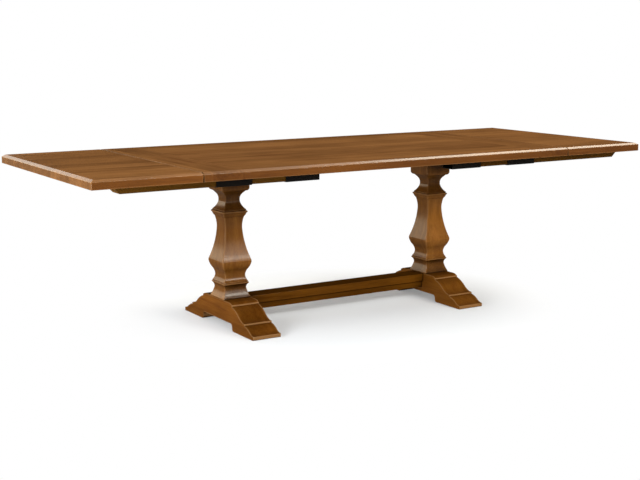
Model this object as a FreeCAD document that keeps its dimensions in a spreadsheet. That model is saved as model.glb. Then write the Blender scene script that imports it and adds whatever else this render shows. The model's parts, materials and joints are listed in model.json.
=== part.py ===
import FreeCAD, Part
import os

import Sketcher
from FreeCAD import Placement, Rotation, Vector

# Extending trestle table with a breadboard top, two leaves on pull-out slides,
# two baluster pedestals and a stretcher. Millimetres, Z up, the origin on the
# floor under the middle of the top, X along the top.

# Driving dimensions: name, millimetres, what it is
DIMENSIONS = [
    ("table_height", 762, "floor to the top face"),
    ("top_width", 1105, "top, front to back"),
    ("main_top_length", 1880, "main top with both breadboard ends"),
    ("leaf_length", 457, "one leaf along the table"),
    ("top_thickness", 38, "slab thickness of the top and the leaves"),
    ("seam_gap", 0.6, "gap between the main top and a leaf"),
    ("edge_bevel_width", 14, "bevel round the top, measured inward"),
    ("edge_bevel_drop", 8, "bevel round the top, measured down"),
    ("edge_rounding", 1.6, "soft arris along moulded edges"),
    ("seam_break", 1.0, "small chamfer along the seams"),
    ("breadboard_width", 175, "breadboard end board"),
    ("tongue_reach", 40, "tongue of the panel into an end board"),
    ("tongue_thickness", 12, "tongue thickness"),
    ("tongue_shoulder", 45, "tongue stops this far from the edges"),
    ("tongue_room", 1.5, "room past the tongue for wood movement"),
    ("tongue_play", 0.1, "play each side of the tongue"),
    ("peg_diameter", 8, "breadboard peg"),
    ("peg_length", 30, "breadboard peg"),
    ("peg_spacing", 300, "between breadboard pegs"),
    ("dowel_diameter", 10, "leaf alignment dowel"),
    ("dowel_hold", 30, "dowel length glued in the leaf"),
    ("dowel_reach", 28, "dowel length beyond the leaf"),
    ("dowel_spacing", 350, "between leaf dowels"),
    ("dowel_play", 0.3, "radial play of a dowel in the main top"),
    ("dowel_room", 4, "hole depth past a dowel"),
    ("glue_fit", 0.05, "radial fit of glued and screwed parts"),
    ("bracket_length", 160, "slide bracket along the table"),
    ("bracket_wall", 2.5, "bracket steel"),
    ("bracket_drop", 40, "bracket below the underside of the top"),
    ("channel_width", 71, "inside width of a bracket"),
    ("flange_width", 18, "bracket flange"),
    ("bend_radius", 3.5, "outside bend at the bottom of a bracket"),
    ("bracket_inner_inset", 509, "end of the main top to an inner bracket's middle"),
    ("bracket_outer_inset", 189, "end of the main top to an outer bracket's middle"),
    ("slide_edge_inset", 149.5, "front edge of the top to a slide's centre line"),
    ("bracket_screw_inset", 20, "bracket end to a screw"),
    ("bracket_screw_hole", 4.6, "hole in a bracket flange"),
    ("bracket_screw_shank", 4, "bracket screw shank"),
    ("bracket_screw_length", 20, "bracket screw in the wood"),
    ("bracket_screw_head", 8, "bracket screw head diameter"),
    ("bracket_screw_crown", 6.4, "bracket screw head diameter at its crown"),
    ("bracket_screw_head_height", 2.6, "bracket screw head"),
    ("recess_span", 4.4, "cross recess across"),
    ("recess_slot", 1.0, "cross recess slot width"),
    ("recess_depth", 1.4, "cross recess depth"),
    ("slide_width", 70, "wooden slide, across the table"),
    ("slide_length", 901, "wooden slide"),
    ("slide_top_play", 0.4, "slide below the underside of the top"),
    ("slide_bottom_play", 0.3, "slide above the bracket bottom"),
    ("slide_tip_lip", 3, "upright lip above the slanted slide end"),
    ("slide_softening", 2, "soft long edges of a slide"),
    ("slide_full_draw", 430, "end of the main top to a fully drawn slide tip"),
    ("slide_left_draw", 336, "end of the main top to a left slide tip"),
    ("cleat_end_room", 17, "end of a top cleat to the bracket flanges"),
    ("cleat_width", 100, "top cleat along the table"),
    ("cleat_height", 38, "top cleat"),
    ("cleat_end_bevel", 22, "slanted lower end of a cleat"),
    ("pedestal_spacing", 1105, "between the pedestal centres"),
    ("post_cap_width", 137, "square cap of a post"),
    ("tenon_width", 50, "square tenon at both post ends"),
    ("foot_tenon_length", 30, "lower tenon"),
    ("cleat_tenon_length", 20, "upper tenon"),
    ("tenon_play", 0.1, "play on each side of a tenon"),
    ("foot_length", 676, "foot, across the table"),
    ("foot_width", 136, "foot along the table"),
    ("foot_height", 125, "floor to the flat top of a foot"),
    ("foot_flat", 230, "flat top of a foot"),
    ("toe_height", 17, "floor to the top of a toe"),
    ("arch_height", 34, "floor to the arch ceiling under a foot"),
    ("arch_span", 312, "arch between the two pads of a foot"),
    ("pad_curve_width", 29, "rounded inner end of a pad, across"),
    ("glide_stand", 1, "wood above the floor"),
    ("glide_diameter", 26, "floor glide"),
    ("glide_height", 4, "floor glide"),
    ("glide_rounding", 0.8, "soft lower edge of a glide"),
    ("glide_inset_x", 24, "foot side to a glide centre"),
    ("glide_inset_y", 48, "foot end to a glide centre"),
    ("stretcher_top", 124, "floor to the top of the stretcher"),
    ("stretcher_width", 91, "upper stretcher board"),
    ("stretcher_board_height", 37, "upper stretcher board"),
    ("stretcher_block_length", 113, "end block of the upper board"),
    ("stretcher_softening", 3, "soft upper edges of the stretcher"),
    ("rail_width", 71, "lower stretcher rail"),
    ("rail_height", 29, "lower stretcher rail"),
    ("bolt_diameter", 8, "top bolts and foot lag screws"),
    ("bolt_length", 56, "top bolt under its head"),
    ("bolt_head_across", 14, "bolt head diameter over the corners"),
    ("bolt_head_height", 5.5, "bolt head"),
    ("washer_diameter", 22, "washer"),
    ("washer_thickness", 1.6, "washer"),
    ("bolt_end_inset", 50, "cleat end to the farther bolt"),
    ("bolt_play", 0.5, "radial play of a bolt in the cleat"),
    ("insert_diameter", 12, "threaded insert in the top"),
    ("insert_length", 19, "threaded insert in the top"),
    ("lag_offset", 39, "post centre to a lag screw"),
    ("lag_grip", 52, "lag screw in the post"),
    ("lag_head_recess", 9, "counterbore in the foot for a lag head"),
    ("cap_screw_shank", 6, "screw from the cleat into the post"),
    ("cap_screw_head", 12, "countersunk head of that screw"),
    ("cap_screw_head_height", 4, "countersunk head of that screw"),
    ("cap_screw_length", 84, "that screw with its head"),
    ("cap_screw_offset", 38, "post centre to that screw"),
    ("stud_grip", 45, "stud in a foot"),
    ("stud_reach", 58, "stud in the stretcher rail"),
    ("stud_spacing", 34, "between the two studs"),
    ("nut_across", 15, "nut diameter over the corners"),
    ("nut_height", 6.5, "nut"),
    ("nut_pocket_start", 34, "foot face to the nut pocket"),
    ("nut_pocket_length", 30, "nut pocket along the rail"),
    ("nut_pocket_depth", 26, "nut pocket up into the rail"),
    ("nut_pocket_side", 5, "rail wood beside the nut pocket"),
    ("rail_screw_shank", 4.5, "screw from the rail into the board"),
    ("rail_screw_head", 9, "head of that screw"),
    ("rail_screw_head_height", 3.5, "head of that screw"),
    ("rail_screw_length", 52, "screw from the rail into the board"),
    ("rail_screw_spacing", 220, "between the screws of the long board"),
    ("block_screw_inset", 38, "block end to its screw"),
    ("overrun", 5, "cutting tools pass faces by this much"),
]

# Post outline from its bottom shoulder up: half width as a share of half the
# cap width, height as a share of the post height. A row of four numbers is an
# arc: its middle point and then its end.
POST_OUTLINE_SHARES = [
    (0.980, 0.000),
    (0.980, 0.009),
    (0.848, 0.046, 0.778, 0.077),
    (0.778, 0.084),
    (0.814, 0.101, 0.898, 0.116),
    (0.912, 0.116),
    (0.912, 0.124),
    (0.872, 0.127),
    (0.872, 0.134),
    (0.786, 0.153, 0.737, 0.182),
    (0.762, 0.202, 0.858, 0.230),
    (0.985, 0.259, 1.055, 0.290),
    (1.055, 0.296),
    (1.043, 0.306),
    (0.800, 0.407, 0.620, 0.567),
    (0.644, 0.611, 0.722, 0.655),
    (0.752, 0.657),
    (0.800, 0.668, 0.848, 0.684),
    (0.891, 0.686),
    (0.891, 0.697),
    (0.825, 0.699),
    (0.825, 0.708),
    (0.632, 0.737, 0.521, 0.775),
    (0.521, 0.788),
    (0.566, 0.818, 0.688, 0.840),
    (0.820, 0.858),
    (0.878, 0.858),
    (0.966, 0.868, 1.000, 0.885),
    (1.000, 1.000),
]

# Foot outline from the end of its flat top to the toe: the first number is a
# share of the way out to the toe, the second a share of the height above the
# toe. A row of four numbers is an arc: its middle point and then its end.
FOOT_OUTLINE_SHARES = [
    (0.000, 1.000),
    (0.060, 0.978, 0.102, 0.932),
    (0.121, 0.928),
    (0.121, 0.856),
    (0.262, 0.748, 0.385, 0.580),
    (0.468, 0.458, 0.588, 0.366),
    (0.640, 0.362),
    (0.640, 0.288),
    (0.747, 0.226, 0.837, 0.126),
    (0.900, 0.043, 0.982, 0.004),
    (1.000, 0.000),
]

# Inner end of a foot pad from the floor side up to the arch ceiling: shares of
# the rounded width, counted inward, and of the height from the wood's foot to
# the ceiling
PAD_OUTLINE_SHARES = [
    (0.000, 0.000),
    (0.268, 0.098, 0.379, 0.333),
    (0.420, 0.600),
    (0.570, 0.880, 1.000, 1.000),
]

# Depth of the extruded post outline as a share of the cap width: past the belly
OUTLINE_DEPTH_SHARE = 1.5

# Screws of the long stretcher board, as shares of their spacing from the middle
RAIL_SCREW_SHARES = (-1.5, -0.5, 0.5, 1.5)

doc = FreeCAD.newDocument("harvest_table")
sheet = doc.addObject("Spreadsheet::Sheet", "Sizes")


class Size:
    """A length in millimetres together with the sheet formula that gives it."""

    def __init__(self, value, text):
        self.value = value
        self.text = text

    def __add__(self, other):
        return Size(self.value + other.value, f"({self.text} + {other.text})")

    def __sub__(self, other):
        return Size(self.value - other.value, f"({self.text} - {other.text})")

    def __mul__(self, share):
        return Size(self.value * share, f"({self.text} * {share})")

    def __truediv__(self, share):
        return Size(self.value / share, f"({self.text} / {share})")

    def __neg__(self):
        return Size(-self.value, f"(-1 * {self.text})")


class Sizes:
    """The driving dimensions by name."""


def fill_sheet():
    """Write the driving dimensions into the sheet and return them by name."""
    sizes = Sizes()
    for row, (name, value, note) in enumerate(DIMENSIONS, start=1):
        sheet.set(f"A{row}", name)
        sheet.set(f"B{row}", str(value))
        sheet.set(f"C{row}", note)
        sheet.setAlias(f"B{row}", name)
        setattr(sizes, name, Size(float(value), f"Sizes.{name}"))
    doc.recompute()
    return sizes


mm = fill_sheet()
ZERO = Size(0.0, "0")
subparts = []


def bind(thing, name, size):
    """Tie one property of an object to the sheet."""
    thing.setExpression(name, size.text)


def place(thing, x, y, z, turn=None):
    """Put an object at a point tied to the sheet, turned by a fixed rotation."""
    thing.Placement = Placement(Vector(x.value, y.value, z.value), turn or Rotation())
    bind(thing, "Placement.Base.x", x)
    bind(thing, "Placement.Base.y", y)
    bind(thing, "Placement.Base.z", z)


def keep(thing, label):
    """Name an object as one finished sub-part."""
    thing.Label = label
    subparts.append(thing)
    return thing


# Drawing and solid helpers

def new_body(name):
    body = doc.addObject("PartDesign::Body", name)
    body.Label = name
    return body


def origin_plane(body, role):
    return next(plane for plane in body.Origin.OriginFeatures if plane.Role == role)


def new_sketch(body, role):
    sketch = body.newObject("Sketcher::SketchObject", f"{body.Name}_sketch")
    sketch.AttachmentSupport = [(origin_plane(body, role), "")]
    sketch.MapMode = "FlatFace"
    return sketch


def tie_point(sketch, ties, item, end, x, y):
    """Collect the two constraints that hold one sketch point at x, y."""
    ties.append((Sketcher.Constraint("DistanceX", -1, 1, item, end, x.value), x))
    ties.append((Sketcher.Constraint("DistanceY", -1, 1, item, end, y.value), y))


def draw_outline(sketch, rows):
    """Draw a closed outline; each row is a corner, or an arc's middle and end."""
    corners = [row[-2:] for row in rows]
    spots = [Vector(x.value, y.value, 0) for x, y in corners]
    count = len(rows)
    start_ends = []
    ties = []
    joins = []
    for index in range(count):
        following = (index + 1) % count
        row = rows[following]
        if len(row) == 4:
            middle = Vector(row[0].value, row[1].value, 0)
            piece = Part.Arc(spots[index], middle, spots[following])
        else:
            piece = Part.LineSegment(spots[index], spots[following])
        sketch.addGeometry(piece, False)
        runs_forward = (sketch.getPoint(index, 1) - spots[index]).Length < \
            (sketch.getPoint(index, 1) - spots[following]).Length
        start_ends.append(1 if runs_forward else 2)
    for index in range(count):
        following = (index + 1) % count
        joins.append(Sketcher.Constraint(
            "Coincident", index, 3 - start_ends[index], following, start_ends[following]))
        tie_point(sketch, ties, index, start_ends[index], *corners[index])
        row = rows[following]
        if len(row) == 4:
            middle = sketch.addGeometry(Part.Point(Vector(row[0].value, row[1].value, 0)), True)
            joins.append(Sketcher.Constraint("PointOnObject", middle, 1, index))
            tie_point(sketch, ties, middle, 1, row[0], row[1])
    sketch.addConstraint(joins + [constraint for constraint, size in ties])
    for offset, (constraint, size) in enumerate(ties):
        bind(sketch, f"Constraints[{len(joins) + offset}]", size)


def mirrored(half):
    """Close a half outline with its mirror image across the upright axis."""
    rows = list(half)
    for index in range(len(half) - 1, -1, -1):
        x, y = half[index][-2:]
        if index == len(half) - 1:
            rows.append((-x, y))
        else:
            arc = half[index + 1][:-2]
            if arc:
                rows.append((-arc[0], arc[1], -x, y))
            else:
                rows.append((-x, y))
    return rows


def pad(body, sketch, length):
    """Extrude a sketch evenly to both sides."""
    solid = body.newObject("PartDesign::Pad", f"{body.Name}_pad")
    solid.Profile = sketch
    solid.SideType = "Symmetric"
    bind(solid, "Length", length)
    doc.recompute([solid])
    return solid


def long_edges(shape, direction, spots):
    """Name the straight edges along a direction that pass through given spots."""
    names = []
    for number, edge in enumerate(shape.Edges, start=1):
        ends = [vertex.Point for vertex in edge.Vertexes]
        if len(ends) != 2:
            continue
        run = ends[1] - ends[0]
        along = abs(run.dot(direction))
        if along < run.Length * (1 - TINY) or along < TINY:
            continue
        foot = ends[0] - direction * ends[0].dot(direction)
        if any((foot - spot).Length < TINY for spot in spots):
            names.append(f"Edge{number}")
    return names


def soften(body, base, edges, radius):
    """Round edges of the last feature of a body."""
    fillet = body.newObject("PartDesign::Fillet", f"{body.Name}_rounding")
    fillet.Base = (base, edges)
    bind(fillet, "Radius", radius)
    return fillet


def box(name, length, width, height, x, y, z):
    """A box centred on x and y that stands on z."""
    solid = doc.addObject("Part::Box", name)
    bind(solid, "Length", length)
    bind(solid, "Width", width)
    bind(solid, "Height", height)
    place(solid, x - length / 2, y - width / 2, z)
    return solid


def cylinder(name, diameter, length, x, y, z, turn=None):
    """A round bar that starts at a point and runs up, or as its turn says."""
    solid = doc.addObject("Part::Cylinder", name)
    bind(solid, "Radius", diameter / 2)
    bind(solid, "Height", length)
    place(solid, x, y, z, turn)
    return solid


def cone(name, lower, upper, height, x, y, z):
    """A round taper between two diameters."""
    solid = doc.addObject("Part::Cone", name)
    bind(solid, "Radius1", lower / 2)
    bind(solid, "Radius2", upper / 2)
    bind(solid, "Height", height)
    place(solid, x, y, z)
    return solid


def hex_prism(name, across, height, x, y, z, turn=None):
    """A six-sided head or nut."""
    solid = doc.addObject("Part::Prism", name)
    solid.Polygon = 6
    bind(solid, "Circumradius", across / 2)
    bind(solid, "Height", height)
    place(solid, x, y, z, turn)
    return solid


def group(name, solids):
    """Hold several solids as one object."""
    compound = doc.addObject("Part::Compound", name)
    compound.Links = solids
    return compound


def cut(name, base, tool):
    result = doc.addObject("Part::Cut", name)
    result.Base = base
    result.Tool = tool
    return result


def fuse(name, base, tool):
    result = doc.addObject("Part::Fuse", name)
    result.Base = base
    result.Tool = tool
    return result


def common(name, base, tool):
    result = doc.addObject("Part::Common", name)
    result.Base = base
    result.Tool = tool
    return result


TINY = 1e-6
DIAGONAL = 2 ** 0.5
TIPPED = Rotation(Vector(0, 1, 0), -45)
TOWARD_X = Rotation(Vector(0, 0, 1), Vector(1, 0, 0))
AWAY_FROM_X = Rotation(Vector(0, 0, 1), Vector(-1, 0, 0))
ALONG_X = Vector(1, 0, 0)
ALONG_Y = Vector(0, 1, 0)
SIDES = [("left", -1), ("right", 1)]
ROWS = [("front", -1), ("back", 1)]

# Places worked out from the driving dimensions
underside = mm.table_height - mm.top_thickness
half_main = mm.main_top_length / 2
half_panel = half_main - mm.breadboard_width
inner_station = half_main - mm.bracket_inner_inset
outer_station = half_main - mm.bracket_outer_inset
slide_line = mm.top_width / 2 - mm.slide_edge_inset
leaf_centre = half_main + mm.seam_gap + mm.leaf_length / 2
cleat_bottom = underside - mm.cleat_height
bracket_half_width = mm.channel_width / 2 + mm.bracket_wall + mm.flange_width
half_cleat = slide_line - bracket_half_width - mm.cleat_end_room
bolt_far = half_cleat - mm.bolt_end_inset
bolt_near = (bolt_far + mm.post_cap_width / 2) / 2
pedestal_x = mm.pedestal_spacing / 2
post_height = cleat_bottom - mm.foot_height
tongue_bottom = underside + (mm.top_thickness - mm.tongue_thickness) / 2
flange_line = mm.channel_width / 2 + mm.bracket_wall + mm.flange_width / 2
screw_inset = mm.bracket_length / 2 - mm.bracket_screw_inset
slide_height = mm.bracket_drop - mm.bracket_wall - mm.slide_top_play - mm.slide_bottom_play
slide_bottom = underside - mm.slide_top_play - slide_height
foot_inner_x = pedestal_x - mm.foot_width / 2
board_bottom = mm.stretcher_top - mm.stretcher_board_height
rail_bottom = board_bottom - mm.rail_height
STATIONS = [("inner", inner_station), ("outer", outer_station)]


def signed(size, sign):
    return size if sign > 0 else -size


def slab_section(name, role, half_width, length, direction, bevelled_sides):
    """A slab with a bevelled or plainly broken upper edge, extruded both ways.

    The section is drawn with its bottom at zero, and each side of the slab is
    bevelled where bevelled_sides says so and otherwise keeps a small break.
    """
    body = new_body(name)
    sketch = new_sketch(body, role)
    rows = []
    spots = []
    for sign, bevelled in zip((1, -1), bevelled_sides):
        edge = signed(half_width, sign)
        width = mm.edge_bevel_width if bevelled else mm.seam_break
        drop = mm.edge_bevel_drop if bevelled else mm.seam_break
        shoulder = mm.top_thickness - drop
        inner = edge - signed(width, sign)
        corners = [(edge, ZERO), (edge, shoulder), (inner, mm.top_thickness)]
        rows += corners if sign > 0 else corners[::-1]
        if bevelled:
            spots += corners
    draw_outline(sketch, rows)
    solid = pad(body, sketch, length)
    across = ALONG_Y if direction == ALONG_X else ALONG_X
    points = [across * x.value + Vector(0, 0, y.value) for x, y in spots]
    if points:
        soften(body, solid, long_edges(solid.Shape, direction, points), mm.edge_rounding)
    return body


def peg_places(sign):
    """Centres of the breadboard pegs at one end."""
    x = signed(half_panel + mm.tongue_reach / 2, sign)
    return [(x, mm.peg_spacing * step) for step in (-1, 0, 1)]


def dowel_rows():
    return [mm.dowel_spacing * step for step in (-1, 0, 1)]


def bracket_screw_places():
    """Centres of all bracket screws."""
    places = []
    for side, side_sign in SIDES:
        for station, centre in STATIONS:
            for row, row_sign in ROWS:
                for x in (centre - screw_inset, centre + screw_inset):
                    for y in (slide_line - flange_line, slide_line + flange_line):
                        places.append((signed(x, side_sign), signed(y, row_sign)))
    return places


def top_bolt_places():
    """Centres of the bolts that hold the top on the cleats."""
    places = []
    for side, side_sign in SIDES:
        for row, row_sign in ROWS:
            for y in (bolt_near, bolt_far):
                places.append((signed(pedestal_x, side_sign), signed(y, row_sign)))
    return places


def peg_holes():
    holes = []
    for side, sign in SIDES:
        for number, (x, y) in enumerate(peg_places(sign)):
            holes.append(cylinder(
                f"peg_hole_{side}_{number}", mm.peg_diameter + mm.glue_fit * 2,
                mm.peg_length + mm.overrun, x, y, underside - mm.overrun))
    return holes


def bracket_screw_holes():
    return [
        cylinder(
            f"bracket_screw_pilot_{number}", mm.bracket_screw_shank + mm.glue_fit * 2,
            mm.bracket_screw_length + mm.overrun, x, y, underside - mm.overrun)
        for number, (x, y) in enumerate(bracket_screw_places())
    ]


def insert_holes():
    return [
        cylinder(
            f"insert_hole_{number}", mm.insert_diameter + mm.glue_fit * 2,
            mm.insert_length + mm.overrun, x, y, underside - mm.overrun)
        for number, (x, y) in enumerate(top_bolt_places())
    ]


def make_main_top(drillings):
    """The middle panel with a stopped tongue at each end."""
    slab = slab_section(
        "main_panel_slab", "YZ_Plane", mm.top_width / 2, half_panel * 2, ALONG_X, (True, True))
    place(slab, ZERO, ZERO, underside)
    tongue = box(
        "panel_tongue", (half_panel + mm.tongue_reach) * 2, mm.top_width - mm.tongue_shoulder * 2,
        mm.tongue_thickness, ZERO, ZERO, tongue_bottom)
    joined = fuse("main_panel_with_tongue", slab, tongue)
    keep(cut("main_panel_drilled", joined, drillings), "main_top_panel")


def make_breadboard_end(side, sign, drillings):
    """An end board, grooved for the tongue and bored for the leaf dowels."""
    centre = signed(half_main - mm.breadboard_width / 2, sign)
    across = slab_section(
        f"end_{side}_across", "YZ_Plane", mm.top_width / 2, mm.breadboard_width,
        ALONG_X, (True, True))
    place(across, centre, ZERO, underside)
    groove_length = mm.tongue_reach + mm.tongue_room
    groove = box(
        f"end_{side}_groove", groove_length + mm.overrun,
        mm.top_width - mm.tongue_shoulder * 2 + mm.tongue_play * 2,
        mm.tongue_thickness + mm.tongue_play * 2,
        signed(half_panel + (groove_length - mm.overrun) / 2, sign), ZERO,
        tongue_bottom - mm.tongue_play)
    seam_face = mm.seam_break * DIAGONAL
    seam_cutter = box(
        f"end_{side}_seam_break", seam_face, mm.top_width + mm.overrun, seam_face,
        ZERO, ZERO, ZERO)
    place(
        seam_cutter, signed(half_main, sign), -(mm.top_width + mm.overrun) / 2,
        mm.table_height - mm.seam_break, TIPPED)
    bores = [
        cylinder(
            f"end_{side}_dowel_bore_{number}", mm.dowel_diameter + mm.dowel_play * 2,
            mm.dowel_reach + mm.dowel_room + mm.overrun,
            signed(half_main + mm.overrun, sign), y, underside + mm.top_thickness / 2,
            AWAY_FROM_X if sign > 0 else TOWARD_X)
        for number, y in enumerate(dowel_rows())
    ]
    tools = group(f"end_{side}_tools", [groove, seam_cutter] + bores)
    shaped = cut(f"end_{side}_shaped", across, tools)
    keep(cut(f"end_{side}_drilled", shaped, drillings), f"breadboard_end_{side}")


def make_pegs():
    pegs = [
        cylinder(f"peg_{side}_{number}", mm.peg_diameter, mm.peg_length, x, y, underside)
        for side, sign in SIDES
        for number, (x, y) in enumerate(peg_places(sign))
    ]
    keep(group("pegs", pegs), "breadboard_pegs")


def make_leaf(side, sign):
    """A leaf with mitred bevels on three sides and its alignment dowels."""
    centre = signed(leaf_centre, sign)
    across = slab_section(
        f"leaf_{side}_across", "YZ_Plane", mm.top_width / 2, mm.leaf_length + mm.overrun,
        ALONG_X, (True, True))
    place(across, centre, ZERO, underside)
    along = slab_section(
        f"leaf_{side}_along", "XZ_Plane", mm.leaf_length / 2, mm.top_width + mm.overrun,
        ALONG_Y, (sign > 0, sign < 0))
    place(along, centre, ZERO, underside)
    slab = common(f"leaf_{side}_slab", across, along)
    seam_x = signed(half_main + mm.seam_gap, sign)
    outward = TOWARD_X if sign > 0 else AWAY_FROM_X
    middle = underside + mm.top_thickness / 2
    holes = []
    dowels = []
    for number, y in enumerate(dowel_rows()):
        holes.append(cylinder(
            f"leaf_{side}_dowel_hole_{number}", mm.dowel_diameter + mm.glue_fit * 2,
            mm.dowel_hold + mm.overrun, seam_x - signed(mm.overrun, sign), y, middle, outward))
        dowels.append(cylinder(
            f"leaf_{side}_dowel_{number}", mm.dowel_diameter, mm.dowel_hold + mm.dowel_reach,
            seam_x - signed(mm.dowel_reach, sign), y, middle, outward))
    keep(cut(f"leaf_{side}_drilled", slab, group(f"leaf_{side}_holes", holes)), f"leaf_{side}")
    keep(group(f"leaf_{side}_dowels", dowels), f"leaf_dowels_{side}")


def make_bracket(side, side_sign, row, row_sign, station, centre):
    """A steel channel with screw flanges, open at the top and both ends."""
    name = f"bracket_{row}_{side}_{station}"
    body = new_body(f"{name}_body")
    sketch = new_sketch(body, "YZ_Plane")
    inner = mm.channel_width / 2
    outer = inner + mm.bracket_wall
    rim = outer + mm.flange_width
    half = [
        (outer, -mm.bracket_drop),
        (outer, -mm.bracket_wall),
        (rim, -mm.bracket_wall),
        (rim, ZERO),
        (inner, ZERO),
        (inner, mm.bracket_wall - mm.bracket_drop),
    ]
    draw_outline(sketch, mirrored(half))
    solid = pad(body, sketch, mm.bracket_length)
    corners = [ALONG_Y * (outer.value * flip) - Vector(0, 0, mm.bracket_drop.value)
               for flip in (-1, 1)]
    soften(body, solid, long_edges(solid.Shape, ALONG_X, corners), mm.bend_radius)
    place(body, signed(centre, side_sign), signed(slide_line, row_sign), underside)
    holes = [
        cylinder(
            f"{name}_hole_{across}_{along}", mm.bracket_screw_hole,
            mm.bracket_wall + mm.overrun * 2,
            signed(centre, side_sign) + signed(screw_inset, along),
            signed(slide_line, row_sign) + signed(flange_line, across),
            underside - mm.bracket_wall - mm.overrun)
        for across in (-1, 1)
        for along in (-1, 1)
    ]
    keep(cut(f"{name}_drilled", body, group(f"{name}_holes", holes)), name)


def make_bracket_screws():
    """Pan-head screws with a cross recess, all in one group."""
    shanks = []
    heads = []
    recesses = []
    head_top = underside - mm.bracket_wall
    head_bottom = head_top - mm.bracket_screw_head_height
    for number, (x, y) in enumerate(bracket_screw_places()):
        shanks.append(cylinder(
            f"bracket_screw_shank_{number}", mm.bracket_screw_shank,
            mm.bracket_screw_length + mm.bracket_wall, x, y, head_top))
        heads.append(cone(
            f"bracket_screw_head_{number}", mm.bracket_screw_crown, mm.bracket_screw_head,
            mm.bracket_screw_head_height, x, y, head_bottom))
        for letter, length, width in (
                ("a", mm.recess_span, mm.recess_slot), ("b", mm.recess_slot, mm.recess_span)):
            recesses.append(box(
                f"bracket_screw_recess_{letter}_{number}", length, width,
                mm.recess_depth + mm.overrun, x, y, head_bottom - mm.overrun))
    whole = fuse(
        "bracket_screw_blanks", group("bracket_screw_shanks", shanks),
        group("bracket_screw_heads", heads))
    keep(cut("bracket_screws_cut", whole, group("bracket_screw_recesses", recesses)),
         "bracket_screws")


def make_slide(side, side_sign, row, row_sign, reach):
    """A wooden slide with its outer end slanted from below."""
    name = f"leaf_slide_{row}_{side}"
    body = new_body(name)
    sketch = new_sketch(body, "XZ_Plane")
    tip = signed(reach, side_sign)
    slant = slide_height - mm.slide_tip_lip
    rows = [
        (tip - signed(mm.slide_length, side_sign), ZERO),
        (tip - signed(slant, side_sign), ZERO),
        (tip, slant),
        (tip, slide_height),
        (tip - signed(mm.slide_length, side_sign), slide_height),
    ]
    draw_outline(sketch, rows)
    solid = pad(body, sketch, mm.slide_width)
    half = mm.slide_width.value / 2
    corners = [ALONG_Y * (half * flip) for flip in (-1, 1)]
    soften(body, solid, long_edges(solid.Shape, ALONG_X, corners), mm.slide_softening)
    place(body, ZERO, signed(slide_line, row_sign), slide_bottom)
    keep(body, name)


def make_cleat(side, sign):
    """The board on top of a post, slanted at both lower ends."""
    body = new_body(f"cleat_{side}_body")
    sketch = new_sketch(body, "YZ_Plane")
    half = [
        (half_cleat - mm.cleat_end_bevel, ZERO),
        (half_cleat, mm.cleat_end_bevel),
        (half_cleat, mm.cleat_height),
    ]
    draw_outline(sketch, mirrored(half))
    pad(body, sketch, mm.cleat_width)
    x = signed(pedestal_x, sign)
    place(body, x, ZERO, cleat_bottom)
    mortise_width = mm.tenon_width + mm.tenon_play * 2
    tools = [box(
        f"cleat_{side}_mortise", mortise_width, mortise_width,
        mm.cleat_tenon_length + mm.tenon_play + mm.overrun, x, ZERO,
        cleat_bottom - mm.overrun)]
    for number, (bolt_x, bolt_y) in enumerate(top_bolt_places()):
        if bolt_x.value * sign > 0:
            tools.append(cylinder(
                f"cleat_{side}_bolt_hole_{number}", mm.bolt_diameter + mm.bolt_play * 2,
                mm.cleat_height + mm.overrun * 2, bolt_x, bolt_y, cleat_bottom - mm.overrun))
    for row, row_sign in ROWS:
        y = signed(mm.cap_screw_offset, row_sign)
        tools.append(cylinder(
            f"cleat_{side}_screw_hole_{row}", mm.cap_screw_shank + mm.glue_fit * 2,
            mm.cleat_height + mm.overrun * 2, x, y, cleat_bottom - mm.overrun))
        tools.append(cone(
            f"cleat_{side}_countersink_{row}", mm.cap_screw_shank + mm.glue_fit * 2,
            mm.cap_screw_head + mm.glue_fit * 2, mm.cap_screw_head_height, x, y,
            underside - mm.cap_screw_head_height))
    keep(cut(f"cleat_{side}_cut", body, group(f"cleat_{side}_tools", tools)),
         f"top_cleat_{side}")


def make_baluster():
    """One square post: the same outline cut from two sides, so its corners mitre."""
    half_cap = mm.post_cap_width / 2
    half = [(ZERO, ZERO)]
    for row in POST_OUTLINE_SHARES:
        spots = []
        for width_share, height_share in zip(row[0::2], row[1::2]):
            spots += [half_cap * width_share, post_height * height_share]
        half.append(tuple(spots))
    half.append((ZERO, post_height))
    front = new_body("post_front")
    sketch = new_sketch(front, "XZ_Plane")
    draw_outline(sketch, half)
    one_side = pad(front, sketch, mm.post_cap_width * OUTLINE_DEPTH_SHARE)
    both_sides = front.newObject("PartDesign::Mirrored", "post_both_sides")
    both_sides.Originals = [one_side]
    both_sides.MirrorPlane = (origin_plane(front, "YZ_Plane"), [""])
    front.Tip = both_sides
    flank = doc.addObject("App::Link", "post_flank")
    flank.LinkedObject = front
    flank.Placement = Placement(Vector(), Rotation(Vector(0, 0, 1), 90))
    return common("post_baluster", front, flank)


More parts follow.
